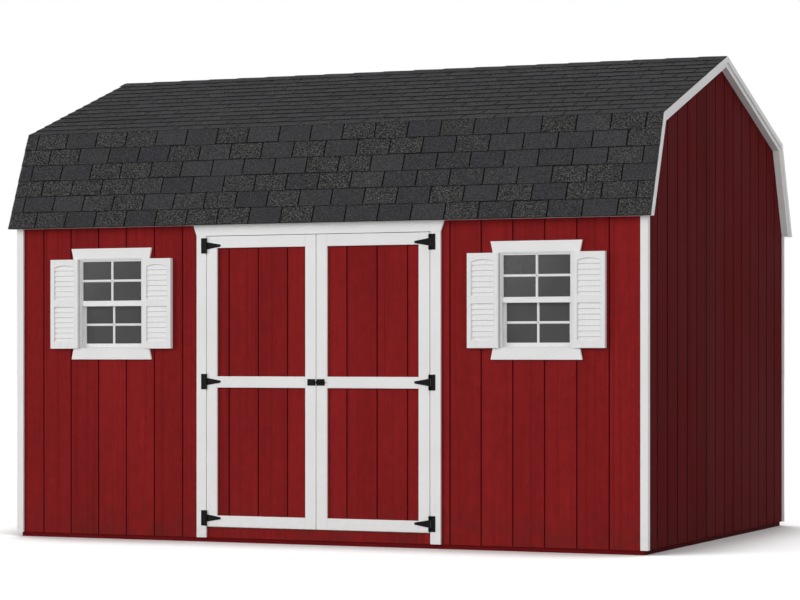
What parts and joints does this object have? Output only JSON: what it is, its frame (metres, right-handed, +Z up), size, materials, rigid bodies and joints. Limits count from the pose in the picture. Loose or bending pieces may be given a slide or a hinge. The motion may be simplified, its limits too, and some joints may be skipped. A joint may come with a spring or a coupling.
{
  "type": "barn shed",
  "caption": "Gambrel-roofed timber garden shed with double doors, shuttered windows, shingle roof and a sliding door bolt.",
  "frame": {"origin": "on the ground at the centre of the plan", "axes": "+X along the front to the right, +Y from the doors to the back, +Z up"},
  "size_m": [4.3832, 3.1938, 3.0978],
  "materials": {
    "timber": "sawn softwood",
    "plywood": "plywood",
    "red_siding": "satin barn red paint",
    "white_trim": "satin white paint",
    "white_window": "satin white",
    "window_glass": "clear",
    "white_shutter": "moulded white",
    "shingle": "mineral granules",
    "black_iron": "satin black"
  },
  "bodies": {
    "shed": {"rim_joists": "timber", "floor_joists": "timber", "long_plates": "timber", "side_plates": "timber", "long_wall_studs": "timber", "side_wall_studs": "timber", "wall_headers": "timber", "lower_rafters": "timber", "upper_rafters": "timber", "floor_deck": "plywood", "gussets": "plywood", "roof_deck": "plywood", "front_siding_left": "red_siding", "front_siding_right": "red_siding", "door_siding_strips": "red_siding", "back_siding": "red_siding", "left_siding": "red_siding", "right_siding": "red_siding", "corner_boards": "white_trim", "corner_returns": "white_trim", "door_side_trim": "white_trim", "door_head_trim": "white_trim", "window_trim": "white_trim", "fly_rafters": "white_trim", "rake_trim": "white_trim", "eave_soffits": "white_trim", "window_frames": "white_window", "window_sashes": "white_window", "window_glass": "window_glass", "shutters": "white_shutter", "shingles_front": "shingle", "shingles_back": "shingle", "hinge_plates": "black_iron"},
    "door_left": {"door_left_panel": "red_siding", "door_left_stiles": "white_trim", "door_left_rails": "white_trim", "door_left_straps": "black_iron", "latch_keeper": "black_iron"},
    "door_right": {"door_right_panel": "red_siding", "door_right_stiles": "white_trim", "door_right_rails": "white_trim", "door_right_straps": "black_iron", "latch_guides": "black_iron"},
    "bolt": {"latch_bolt": "black_iron"}
  },
  "joints": [
    {"name": "door_left_hinge", "type": "hinge", "parent": "shed", "child": "door_left", "pos_m": [-0.762, -1.546, 1.013], "axis": [0, 0, -1], "range_deg": [0, 165]},
    {"name": "door_right_hinge", "type": "hinge", "parent": "shed", "child": "door_right", "pos_m": [0.762, -1.546, 1.013], "axis": [0, 0, 1], "range_deg": [0, 165]},
    {"name": "bolt_slide", "type": "slide", "parent": "door_right", "child": "bolt", "axis": [-1, 0, 0], "range_m": [0, 0.02]}
  ]
}
